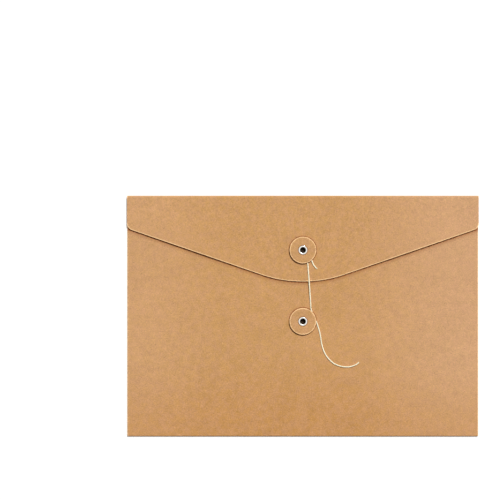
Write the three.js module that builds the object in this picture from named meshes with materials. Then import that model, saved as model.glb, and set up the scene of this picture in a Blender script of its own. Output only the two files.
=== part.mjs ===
// Kraft file folder closed by a string and two buttons.
// Millimetres, +Z up. The folder lies on its back: X is its width, +Y runs up to the flap's crease and
// +Z comes out of its front. The origin is under its middle, on the surface that it lies on.

import * as THREE from 'three';

// Card sheet
const CARD = 0.45;
const FOLDER_WIDTH = 335;
const FOLDER_HEIGHT = 229.5;

// Pocket: back panel, front panel and the side tabs between them
const BODY_INSET = 0.1;
const FRONT_INSET = 0.2;
const POCKET_ROOM = 0.65;
const MOUTH_DROP = 12;
const MOUTH_CORNER_RADIUS = 4;
const TAB_WIDTH = 20;
const TAB_TAPER = 8;
const TAB_MOUTH_SETBACK = 3;
const CORNER_RELIEF = 0.5;

// Dried glue between each side tab and the front panel
const GLUE = 0.1;
const GLUE_WIDTH = 12;
const GLUE_MARGIN = 3;

// Flap
const FLAP_SIDE_DEPTH = 31.1;
const FLAP_SLANT_DEG = 19;
const FLAP_TIP_RADIUS = 122.5;
const FLAP_CORNER_RADIUS = 7;

// Buttons: card discs that turn on eyelets
const UPPER_BUTTON_DROP = 51.8;
const LOWER_BUTTON_DROP = 119.7;
const BUTTON_RADIUS = 12.8;
const BUTTON_THICKNESS = 0.8;
const BUTTON_EDGE = 0.25;

// Eyelets and the washers that back them
const BARREL_RADIUS = 2.9;
const BARREL_WALL = 0.35;
const BARREL_FIT = 0.1;
const SPIN_FIT = 0.3;
const SPIN_PLAY = 0.1;
const FLANGE_RADIUS = 4.3;
const FLANGE_HEIGHT = 0.45;
const CURL_RADIUS = 3.9;
const CURL_HEIGHT = 0.5;
const CURL_CLEARANCE = 0.3;
const WASHER = 0.3;
const WASHER_RADIUS = 7;

// String
const STRING_DIAMETER = 1.2;
const STRING_ROOM = 0.3;
const STRING_LIFT = 0.06;
const STRING_BARREL_GAP = 0.6;
const STRING_HOOK_START_DEG = 25;
const STRING_HOOK_END_DEG = 222;
const STRING_HOOK_POINTS = 9;

// Facets
const FOLD_FACETS = 8;
const CORNER_FACETS = 10;
const ROUND_FACETS = 64;
const BEAD_FACETS = 6;
const STRING_SIDES = 8;
const STRING_STEPS = 80;

// Heights above the surface, from the back panel up
const pocketHeight = POCKET_ROOM + CURL_HEIGHT + WASHER;
const frontBottom = CARD + pocketHeight;
const frontTop = frontBottom + CARD;
const flapBottom = frontTop + CURL_CLEARANCE + CURL_HEIGHT + WASHER;
const flapTop = flapBottom + CARD;
const tabTop = frontBottom - GLUE;
const stringSlot = STRING_DIAMETER + STRING_ROOM;

// Places across and along the folder
const halfWidth = FOLDER_WIDTH / 2;
const bodyHalf = halfWidth - BODY_INSET;
const frontHalf = bodyHalf - FRONT_INSET;
const topEdge = FOLDER_HEIGHT / 2;
const creaseRadius = flapTop / 2;
const creaseY = topEdge - creaseRadius;
const bottomRadius = frontTop / 2;
const bottomY = bottomRadius - topEdge;
const sideRadius = tabTop / 2;
const sideFoldX = bodyHalf - sideRadius;
const mouthY = topEdge - MOUTH_DROP;
const tabTopY = mouthY - TAB_MOUTH_SETBACK;
const tabBottomY = bottomY + CORNER_RELIEF;
const upperButtonY = topEdge - UPPER_BUTTON_DROP;
const lowerButtonY = topEdge - LOWER_BUTTON_DROP;
const cardHoleRadius = BARREL_RADIUS + BARREL_FIT;

// Turns that carry a section drawn in X and Y, and extruded along Z, to its place
const X_AXIS = new THREE.Vector3(1, 0, 0);
const Y_AXIS = new THREE.Vector3(0, 1, 0);
const Z_AXIS = new THREE.Vector3(0, 0, 1);
const alongX = new THREE.Matrix4().makeBasis(Y_AXIS, Z_AXIS, X_AXIS);
const alongY = new THREE.Matrix4().makeBasis(X_AXIS, Z_AXIS, Y_AXIS.clone().negate());

const kraft = { color: 0xcc9c6a, roughness: 0.88, metalness: 0 };
const discKraft = { color: 0xcb9e6d, roughness: 0.85, metalness: 0 };
const metal = { color: 0xe4dcd0, roughness: 0.3, metalness: 1 };
const cotton = { color: 0xf6ead2, roughness: 0.9, metalness: 0 };
const driedGlue = { color: 0xe9e2cf, roughness: 0.6, metalness: 0 };

const folder = new THREE.Group();

function addPiece(name, geometry, finish, position = [0, 0, 0]) {
  const piece = new THREE.Mesh(geometry, new THREE.MeshStandardMaterial(finish));
  piece.name = name;
  piece.position.set(...position);
  folder.add(piece);
}

// A flat piece of the given thickness, cut to an outline
function plate(outline, thickness) {
  return new THREE.ExtrudeGeometry(outline, {
    depth: thickness,
    bevelEnabled: false,
    curveSegments: CORNER_FACETS,
  });
}

function polygon(points) {
  return new THREE.Shape(points.map(([x, y]) => new THREE.Vector2(x, y)));
}

function punchHole(outline, x, y, radius) {
  const hole = new THREE.Path();
  hole.absarc(x, y, radius, 0, 2 * Math.PI, true);
  outline.holes.push(hole);
}

// A card fold: half a ring whose bend points the given way in its own section
function foldGeometry(outerRadius, facing, length) {
  const start = facing - Math.PI / 2;
  const end = facing + Math.PI / 2;
  const section = new THREE.Shape();
  section.absarc(0, 0, outerRadius, start, end, false);
  section.absarc(0, 0, outerRadius - CARD, end, start, true);
  const geometry = new THREE.ExtrudeGeometry(section, {
    depth: length,
    bevelEnabled: false,
    curveSegments: FOLD_FACETS,
  });
  geometry.translate(0, 0, -length / 2);
  return geometry;
}

// A round piece about Z from a closed profile of [radius, height] points
function turned(profile) {
  const points = [...profile, profile[0]].map(([radius, height]) => new THREE.Vector2(radius, height));
  return new THREE.LatheGeometry(points, ROUND_FACETS).applyMatrix4(alongY);
}

// Back panel, wider where no side fold takes the edge over
function addBackPanel() {
  const outline = polygon([
    [-sideFoldX, bottomY],
    [sideFoldX, bottomY],
    [sideFoldX, tabTopY],
    [bodyHalf, tabTopY],
    [bodyHalf, creaseY],
    [-bodyHalf, creaseY],
    [-bodyHalf, tabTopY],
    [-sideFoldX, tabTopY],
  ]);
  addPiece('back_panel', plate(outline, CARD), kraft);
}

// Front panel, with round corners at the pocket's mouth and the lower eyelet's hole
function addFrontPanel() {
  const outline = new THREE.Shape();
  const cornerX = frontHalf - MOUTH_CORNER_RADIUS;
  const cornerY = mouthY - MOUTH_CORNER_RADIUS;
  outline.moveTo(-frontHalf, bottomY);
  outline.lineTo(frontHalf, bottomY);
  outline.absarc(cornerX, cornerY, MOUTH_CORNER_RADIUS, 0, Math.PI / 2, false);
  outline.absarc(-cornerX, cornerY, MOUTH_CORNER_RADIUS, Math.PI / 2, Math.PI, false);
  punchHole(outline, 0, lowerButtonY, cardHoleRadius);
  addPiece('front_panel', plate(outline, CARD), kraft, [0, 0, frontBottom]);
}

function addBottomFold() {
  const geometry = foldGeometry(bottomRadius, Math.PI, 2 * frontHalf).applyMatrix4(alongX);
  addPiece('bottom_fold', geometry, kraft, [0, bottomY, bottomRadius]);
}

// Each side of the back panel turns over as a fold and a tab, and the tab is glued under the front panel
function addSide(name, side) {
  const foldLength = tabTopY - tabBottomY;
  const middleY = (tabTopY + tabBottomY) / 2;
  const facing = side > 0 ? 0 : Math.PI;
  const fold = foldGeometry(sideRadius, facing, foldLength).applyMatrix4(alongY);
  addPiece(`${name}_side_fold`, fold, kraft, [side * sideFoldX, middleY, sideRadius]);

  const tabInner = side * (sideFoldX - TAB_WIDTH);
  const tab = polygon([
    [side * sideFoldX, tabBottomY],
    [side * sideFoldX, tabTopY],
    [tabInner, tabTopY - TAB_TAPER],
    [tabInner, tabBottomY + TAB_TAPER],
  ]);
  addPiece(`${name}_side_tab`, plate(tab, CARD), kraft, [0, 0, tabTop - CARD]);

  const glueOuter = side * (sideFoldX - GLUE_MARGIN);
  const glueInner = side * (sideFoldX - GLUE_MARGIN - GLUE_WIDTH);
  const glueTop = tabTopY - TAB_TAPER - GLUE_MARGIN;
  const glueBottom = tabBottomY + TAB_TAPER + GLUE_MARGIN;
  const glue = polygon([
    [glueOuter, glueBottom],
    [glueOuter, glueTop],
    [glueInner, glueTop],
    [glueInner, glueBottom],
  ]);
  addPiece(`${name}_glue_line`, plate(glue, GLUE), driedGlue, [0, 0, tabTop]);
}

// The living hinge between the back panel and the flap
function addCrease() {
  const geometry = foldGeometry(creaseRadius, 0, FOLDER_WIDTH).applyMatrix4(alongX);
  addPiece('flap_crease', geometry, kraft, [0, creaseY, creaseRadius]);
}

// Flap: short straight sides, round corners, and two slanted edges that run into a round tip
function addFlap() {
  const slant = THREE.MathUtils.degToRad(FLAP_SLANT_DEG);
  const cornerX = halfWidth - FLAP_CORNER_RADIUS;
  const cornerLength = FLAP_CORNER_RADIUS * Math.tan((Math.PI / 2 - slant) / 2);
  const cornerY = topEdge - FLAP_SIDE_DEPTH + cornerLength;
  const slantMeetY = topEdge - FLAP_SIDE_DEPTH - halfWidth * Math.tan(slant);
  const tipCentreY = slantMeetY + FLAP_TIP_RADIUS / Math.cos(slant);
  const down = -Math.PI / 2;
  const outline = new THREE.Shape();
  outline.moveTo(halfWidth, creaseY);
  outline.lineTo(-halfWidth, creaseY);
  outline.absarc(-cornerX, cornerY, FLAP_CORNER_RADIUS, Math.PI, 2 * Math.PI + down - slant, false);
  outline.absarc(0, tipCentreY, FLAP_TIP_RADIUS, down - slant, down + slant, false);
  outline.absarc(cornerX, cornerY, FLAP_CORNER_RADIUS, down + slant, 0, false);
  punchHole(outline, 0, upperButtonY, cardHoleRadius);
  addPiece('top_flap', plate(outline, CARD), kraft, [0, 0, flapBottom]);
}

// A round-edged card disc with a running hole for its barrel
function buttonGeometry() {
  const bore = BARREL_RADIUS + SPIN_FIT;
  return turned([
    [bore, 0],
    [BUTTON_RADIUS - BUTTON_EDGE, 0],
    [BUTTON_RADIUS, BUTTON_EDGE],
    [BUTTON_RADIUS, BUTTON_THICKNESS - BUTTON_EDGE],
    [BUTTON_RADIUS - BUTTON_EDGE, BUTTON_THICKNESS],
    [bore, BUTTON_THICKNESS],
  ]);
}

// Half a turn of a bead between two radii, from the outer one to the inner one
function bead(outer, inner, seat, height) {
  const middle = (outer + inner) / 2;
  const points = [];
  for (let i = 0; i <= BEAD_FACETS; i += 1) {
    const angle = (Math.PI * i) / BEAD_FACETS;
    points.push([
      middle + ((outer - inner) / 2) * Math.cos(angle),
      seat + height * Math.sin(angle),
    ]);
  }
  return points;
}

// A tube whose flange sits over the button and whose far end is curled out under the washer
function eyeletGeometry(curlSeat, flangeSeat) {
  const bore = BARREL_RADIUS - BARREL_WALL;
  return turned([
    ...bead(FLANGE_RADIUS, bore, flangeSeat, FLANGE_HEIGHT),
    ...bead(bore, CURL_RADIUS, curlSeat, -CURL_HEIGHT),
    [BARREL_RADIUS, curlSeat],
    [BARREL_RADIUS, flangeSeat],
  ]);
}

function washerGeometry() {
  return turned([
    [cardHoleRadius, 0],
    [WASHER_RADIUS, 0],
    [WASHER_RADIUS, WASHER],
    [cardHoleRadius, WASHER],
  ]);
}

// One fastening: button, eyelet and backing washer through a card whose faces are at these heights
function addButton(name, y, cardBottom, cardTop) {
  const discBottom = cardTop + stringSlot;
  const flangeSeat = discBottom + BUTTON_THICKNESS + SPIN_PLAY;
  const curlSeat = cardBottom - WASHER;
  addPiece(`${name}_button`, buttonGeometry(), discKraft, [0, y, discBottom]);
  addPiece(`${name}_eyelet`, eyeletGeometry(curlSeat, flangeSeat), metal, [0, y, 0]);
  addPiece(`${name}_backing_washer`, washerGeometry(), kraft, [0, y, curlSeat]);
}

// The string's route. It hooks round the upper barrel, crosses the flap's tip, goes under the lower
// button's rim and ends bare. Points are [right, up, height] from the middle of the button that is named.
function stringRoute() {
  const onFlap = flapTop + STRING_DIAMETER / 2 + STRING_LIFT;
  const onFront = frontTop + STRING_DIAMETER / 2 + STRING_LIFT;
  const drop = onFlap - onFront;
  const fromUpper = ([x, y, z]) => new THREE.Vector3(x, upperButtonY + y, z);
  const fromLower = ([x, y, z]) => new THREE.Vector3(x, lowerButtonY + y, z);

  const shortEnd = [
    [13.6, -18.1, onFlap],
    [11.9, -16.4, onFlap],
    [10.1, -14.0, onFlap],
    [8.7, -10.8, onFlap],
    [7.6, -7.2, onFlap],
    [5.8, -3.2, onFlap],
  ];

  const hookRadius = BARREL_RADIUS + STRING_BARREL_GAP + STRING_DIAMETER / 2;
  const hookStart = THREE.MathUtils.degToRad(STRING_HOOK_START_DEG);
  const hookEnd = THREE.MathUtils.degToRad(STRING_HOOK_END_DEG);
  const hook = [];
  for (let i = 0; i < STRING_HOOK_POINTS; i += 1) {
    const angle = THREE.MathUtils.lerp(hookStart, hookEnd, i / (STRING_HOOK_POINTS - 1));
    hook.push([hookRadius * Math.cos(angle), hookRadius * Math.sin(angle), onFlap]);
  }

  const overFlap = [
    [0.8, -6.6, onFlap],
    [4.2, -11.6, onFlap],
    [5.1, -19.0, onFlap],
    [5.8, -28.0, onFlap],
    [6.2, -33.5, onFlap - 0.14 * drop],
  ];

  const overFront = [
    [6.5, 30.0, onFront + 0.69 * drop],
    [6.8, 25.5, onFront + 0.52 * drop],
    [7.3, 18.5, onFront + 0.22 * drop],
    [7.9, 11.2, onFront],
    [10.4, 4.9, onFront],
    [13.2, -1.5, onFront],
    [15.5, -8.5, onFront],
    [16.9, -14.6, onFront],
    [17.9, -21.0, onFront],
    [20.1, -28.5, onFront],
    [24.0, -35.0, onFront],
    [29.7, -40.2, onFront],
    [37.0, -43.0, onFront],
    [43.6, -43.4, onFront],
    [49.6, -41.8, onFront],
    [54.0, -39.0, onFront],
  ];

  return [...shortEnd, ...hook, ...overFlap].map(fromUpper).concat(overFront.map(fromLower));
}

function addString() {
  const route = new THREE.CatmullRomCurve3(stringRoute(), false, 'centripetal');
  const section = new THREE.Shape();
  for (let i = 0; i < STRING_SIDES; i += 1) {
    const angle = (2 * Math.PI * (i + 0.5)) / STRING_SIDES;
    const corner = [(STRING_DIAMETER / 2) * Math.cos(angle), (STRING_DIAMETER / 2) * Math.sin(angle)];
    if (i === 0) {
      section.moveTo(...corner);
    } else {
      section.lineTo(...corner);
    }
  }
  const geometry = new THREE.ExtrudeGeometry(section, {
    steps: STRING_STEPS,
    extrudePath: route,
    bevelEnabled: false,
  });
  addPiece('string', geometry, cotton);
  console.log(`string: ${route.getLength().toFixed(1)} mm long`);
}

addBackPanel();
addFrontPanel();
addBottomFold();
addSide('left', -1);
addSide('right', 1);
addCrease();
addFlap();
addButton('upper', upperButtonY, flapBottom, flapTop);
addButton('lower', lowerButtonY, frontBottom, frontTop);
addString();

export default folder;
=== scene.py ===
"""The finished look of a kraft file folder that a string and two card buttons close.

The folder lies on its back. X runs across it, +Y up to the flap's crease, and +Z out of its front.
Lengths are in metres.
"""

import logging
import math
from contextlib import contextmanager
from dataclasses import dataclass
from enum import Enum
from itertools import pairwise
from typing import Callable, Iterator, Sequence, TypeAlias

import bmesh
import bpy
from mathutils import Matrix, Vector


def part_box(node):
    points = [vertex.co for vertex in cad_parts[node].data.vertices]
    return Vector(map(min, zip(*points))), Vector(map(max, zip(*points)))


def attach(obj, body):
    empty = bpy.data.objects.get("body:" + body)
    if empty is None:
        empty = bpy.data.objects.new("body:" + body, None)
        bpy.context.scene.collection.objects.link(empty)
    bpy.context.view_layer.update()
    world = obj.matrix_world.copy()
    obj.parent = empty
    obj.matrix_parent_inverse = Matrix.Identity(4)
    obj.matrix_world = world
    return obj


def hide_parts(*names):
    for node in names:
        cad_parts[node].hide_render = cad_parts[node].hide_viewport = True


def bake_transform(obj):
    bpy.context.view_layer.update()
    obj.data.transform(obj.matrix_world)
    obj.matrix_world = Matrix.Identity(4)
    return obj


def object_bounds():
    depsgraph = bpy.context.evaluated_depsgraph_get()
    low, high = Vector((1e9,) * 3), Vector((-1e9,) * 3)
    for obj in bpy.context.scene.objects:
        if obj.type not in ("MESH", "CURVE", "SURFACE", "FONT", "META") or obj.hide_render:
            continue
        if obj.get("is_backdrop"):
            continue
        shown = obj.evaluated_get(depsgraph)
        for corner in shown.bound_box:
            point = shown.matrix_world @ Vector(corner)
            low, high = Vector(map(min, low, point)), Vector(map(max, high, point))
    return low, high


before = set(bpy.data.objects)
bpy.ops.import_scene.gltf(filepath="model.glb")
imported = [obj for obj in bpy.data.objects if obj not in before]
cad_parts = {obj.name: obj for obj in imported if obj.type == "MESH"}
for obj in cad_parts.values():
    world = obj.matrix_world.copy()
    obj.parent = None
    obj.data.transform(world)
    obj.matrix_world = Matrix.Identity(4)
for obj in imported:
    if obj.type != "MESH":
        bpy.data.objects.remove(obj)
CAD_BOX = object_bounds()

LOG = logging.getLogger("folder")
MM = 0.001
EPSILON = 1e-6

Piece: TypeAlias = bpy.types.Object
Socket: TypeAlias = bpy.types.NodeSocket
Colour: TypeAlias = tuple[float, float, float, float]


class Body(Enum):
    """The bodies that the pieces ride on."""

    ENVELOPE = "envelope"
    FLAP = "flap"
    UPPER_DISC = "upper_disc"
    LOWER_DISC = "lower_disc"
    STRING = "tie_string"


class Slot(Enum):
    """The record's material slots."""

    KRAFT = "kraft_card"
    DISC = "button_card"
    METAL = "eyelet_metal"
    COTTON = "cotton_string"


class Element(Enum):
    """What is selected in edit mode."""

    VERTEX = "VERT"
    EDGE = "EDGE"
    FACE = "FACE"


def screen_colour(red: float, green: float, blue: float) -> Colour:
    """Turns a colour as a screen shows it into the linear one that a shader takes.

    Args:
        red: Red, 0 to 255.
        green: Green, 0 to 255.
        blue: Blue, 0 to 255.

    Returns:
        The linear colour with full alpha.
    """

    def linear(channel: float) -> float:
        """Undoes the screen's curve for one channel."""
        share = channel / 255
        return share / 12.92 if share <= 0.04045 else ((share + 0.055) / 1.055) ** 2.4

    return (linear(red), linear(green), linear(blue), 1.0)


class NodeBench:
    """Lays out the shader nodes of one material."""

    def __init__(self, name: str) -> None:
        """Starts a material with an empty Principled shader.

        Args:
            name: The material's name.
        """
        self.material = bpy.data.materials.new(name)
        self.material.use_nodes = True
        self.tree = self.material.node_tree
        self.shader = self.tree.nodes["Principled BSDF"]
        self.place = self.add("TexCoord").outputs["Object"]

    def add(
        self,
        kind: str,
        inputs: dict[str | int, object] | None = None,
        **settings: object,
    ) -> bpy.types.Node:
        """Adds a node and fills its inputs.

        Args:
            kind: The node's type without its ShaderNode prefix.
            inputs: Values or sockets by input name or number.
            **settings: The node's own settings.

        Returns:
            The node.
        """
        node = self.tree.nodes.new(f"ShaderNode{kind}")
        for name, value in settings.items():
            setattr(node, name, value)
        for key, value in (inputs or {}).items():
            self.feed(node.inputs[key], value)
        return node

    def feed(self, socket: Socket, value: object) -> None:
        """Links a socket to another, or gives it a plain value.

        Args:
            socket: The socket to fill.
            value: Another socket, or a plain value.
        """
        if isinstance(value, bpy.types.NodeSocket):
            self.tree.links.new(value, socket)
        else:
            socket.default_value = value

    def set(self, **inputs: object) -> None:
        """Fills the shader's inputs, whose names are written with underscores."""
        for name, value in inputs.items():
            self.feed(self.shader.inputs[name.replace("_", " ")], value)

    def noise(
        self,
        size: float,
        detail: float = 2,
        roughness: float = 0.5,
        place: Socket | None = None,
    ) -> Socket:
        """Makes soft blotches.

        Args:
            size: About how large they are.
            detail: How many finer layers they have.
            roughness: How strong the finer layers are.
            place: The coordinates, if not the piece's own.

        Returns:
            A value from 0 to 1.
        """
        inputs = {
            "Vector": place or self.place,
            "Scale": 1 / size,
            "Detail": detail,
            "Roughness": roughness,
        }
        return self.add("TexNoise", inputs).outputs[0]

    def stretched(self, length: float, width: float, turn: float) -> Socket:
        """Coordinates that stretch a pattern into strands in the plane of the card.

        Args:
            length: How long a strand is.
            width: How wide it is.
            turn: Its direction, in degrees from X.

        Returns:
            The coordinates.
        """
        inputs = {
            "Vector": self.place,
            "Rotation": (0, 0, math.radians(turn)),
            "Scale": (length, width, width),
        }
        return self.add("Mapping", inputs, vector_type="TEXTURE").outputs[0]

    def band(self, value: Socket, low: float, high: float, start: float = 0, end: float = 1) -> Socket:
        """Eases a value from start to end as it passes from low to high."""
        inputs = {"Value": value, "From Min": low, "From Max": high, "To Min": start, "To Max": end}
        return self.add("MapRange", inputs, interpolation_type="SMOOTHSTEP").outputs[0]

    def maths(self, operation: str, *values: object) -> Socket:
        """Works out one number from others."""
        return self.add("Math", dict(enumerate(values)), operation=operation).outputs[0]

    def vary(self, start: float | Socket, *parts: tuple[Socket, float]) -> Socket:
        """Adds patterns about their middle value to a number.

        Args:
            start: The number where every pattern is at its middle.
            *parts: Each pattern with its full swing.

        Returns:
            The varied number.
        """
        total = start
        for pattern, swing in parts:
            centred = self.maths("SUBTRACT", pattern, 0.5)
            total = self.maths("MULTIPLY_ADD", centred, swing, total)
        return total

    def mix(self, factor: float | Socket, first: object, second: object, blend: str = "MIX") -> Socket:
        """Mixes two colours."""
        inputs = {0: factor, 6: first, 7: second}
        return self.add("Mix", inputs, data_type="RGBA", blend_type=blend).outputs[2]

    def strewn(self, strand: "Strand") -> Socket:
        """A mask of short bent strands that lie every way, about one for each square of their spacing.

        Args:
            strand: What the strands are like.

        Returns:
            The mask, 1 on a strand's middle line.
        """
        inputs = {"Vector": self.place, "Scale": 1 / strand.spacing}
        cells = self.add("TexVoronoi", inputs, voronoi_dimensions="2D")
        turn, bend, chance = self.add("SeparateColor", {0: cells.outputs["Color"]}).outputs
        away = self.add("VectorMath", {0: self.place, 1: cells.outputs["Position"]}, operation="SUBTRACT")
        angle = self.maths("MULTIPLY", turn, 2 * math.pi)
        inputs = {"Vector": away.outputs[0], "Angle": angle}
        turned = self.add("VectorRotate", inputs, rotation_type="Z_AXIS")
        along, across, _ = self.add("SeparateXYZ", {0: turned.outputs[0]}).outputs
        sag = self.maths("MULTIPLY", self.maths("MULTIPLY", along, along), strand.bend / strand.length)
        across = self.maths("MULTIPLY_ADD", self.vary(0.0, (bend, 2.0)), sag, across)
        core, rim = strand.core * strand.width, strand.fade * strand.width
        thin = self.band(self.maths("ABSOLUTE", across), core, rim, 1, 0)
        reach = self.vary(strand.reach * strand.length, (bend, strand.reach_swing * strand.length))
        ends = self.maths("LESS_THAN", self.maths("ABSOLUTE", along), reach)
        there = self.maths("LESS_THAN", chance, strand.share)
        return self.maths("MULTIPLY", self.maths("MULTIPLY", thin, ends), there)

    def from_axis(self, y: float) -> Socket:
        """The distance from an upright line that stands on the folder's middle at y.

        Args:
            y: How far up the folder the line stands.

        Returns:
            The distance.
        """
        place = self.add("Mapping", {"Vector": self.place, "Location": (0, -y, 0)}).outputs[0]
        flat = self.add("VectorMath", {0: place, 1: (1, 1, 0)}, operation="MULTIPLY").outputs[0]
        return self.add("VectorMath", {0: flat}, operation="LENGTH").outputs[1]

    def bump(self, height: Socket, depth: float, strength: float = 1.0) -> Socket:
        """Turns a height from 0 to 1 into a bumped normal."""
        inputs = {"Height": height, "Distance": depth, "Strength": strength}
        return self.add("Bump", inputs).outputs[0]


@dataclass(frozen=True)
class Strand:
    """One kind of short strand in the card: how long, wide, bent and common it is.

    The share is that of the squares of the spacing that hold one. The core and the fade are shares of the
    width, and the reach is one of the length.
    """

    spacing: float
    length: float
    width: float
    share: float
    bend: float = 1.2
    core: float = 0.1
    fade: float = 0.7
    reach: float = 0.35
    reach_swing: float = 0.3


@dataclass(frozen=True)
class FlapOutline:
    """The flap's cut outline: straight sides, round corners and two slants that run into a round tip."""

    half: float
    top: float
    side_depth: float = 31.1 * MM
    slant: float = math.radians(19)
    tip_radius: float = 122.5 * MM
    corner_radius: float = 7 * MM

    @property
    def shoulder_y(self) -> float:
        """Where a straight side would meet its slant."""
        return self.top - self.side_depth

    @property
    def point_y(self) -> float:
        """Where the slants would meet."""
        return self.shoulder_y - self.half * math.tan(self.slant)

    @property
    def tip_centre_y(self) -> float:
        """The middle of the round tip's arc."""
        return self.point_y + self.tip_radius / math.cos(self.slant)

    def beyond(self, bench: NodeBench) -> Socket:
        """How far a point lies below the outline.

        Args:
            bench: The material's bench.

        Returns:
            The distance, negative under the flap.
        """
        x, y, _ = bench.add("SeparateXYZ", {0: bench.place}).outputs
        aside = bench.maths("ABSOLUTE", x)
        edge_y = bench.maths("MULTIPLY_ADD", aside, math.tan(self.slant), self.point_y)
        line = bench.maths("MULTIPLY", bench.maths("SUBTRACT", edge_y, y), math.cos(self.slant))
        arc = bench.maths("SUBTRACT", bench.from_axis(self.tip_centre_y), self.tip_radius)
        in_tip = bench.maths("LESS_THAN", aside, self.tip_radius * math.sin(self.slant))
        step = bench.maths("SUBTRACT", arc, line)
        return bench.maths("MULTIPLY_ADD", step, in_tip, line)


@dataclass(frozen=True)
class ShadowRing:
    """A painted shadow ring round a round part, on the card that it lies over."""

    middle_y: float
    radius: float
    width: float = 1.3 * MM
    depth: float = 0.75
    core: float = 0.15

    @classmethod
    def round_disc(cls, middle_y: float, disc_radius: float, gap: float = 0.3 * MM) -> "ShadowRing":
        """The painted shadow ring just outside a disc's rim."""
        return cls(middle_y, disc_radius + gap)

    @classmethod
    def round_flange(cls, middle_y: float, radius: float = 4.6 * MM) -> "ShadowRing":
        """The faint thin painted shadow ring round an eyelet's flange, on its disc."""
        return cls(middle_y, radius, width=0.9 * MM, depth=0.5)


@dataclass(frozen=True)
class Swings:
    """How strongly each size of blotch changes the card's lightness."""

    clouds: float = 0.1
    drifts: float = 0.1
    flocs: float = 0.36
    grain: float = 0.6
    tooth: float = 0.18


@dataclass(frozen=True)
class ToneReach:
    """Where the card's tone leaves that of its middle, to the right, to the left and down the folder."""

    right_from: float = 20 * MM
    right_to: float = 160 * MM
    left_from: float = -60 * MM
    left_to: float = -168 * MM
    left_share: float = 0.55
    down_from: float = -20 * MM
    down_to: float = -116 * MM
    side_fade_from: float = -40 * MM
    side_share: float = 0.45


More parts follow.
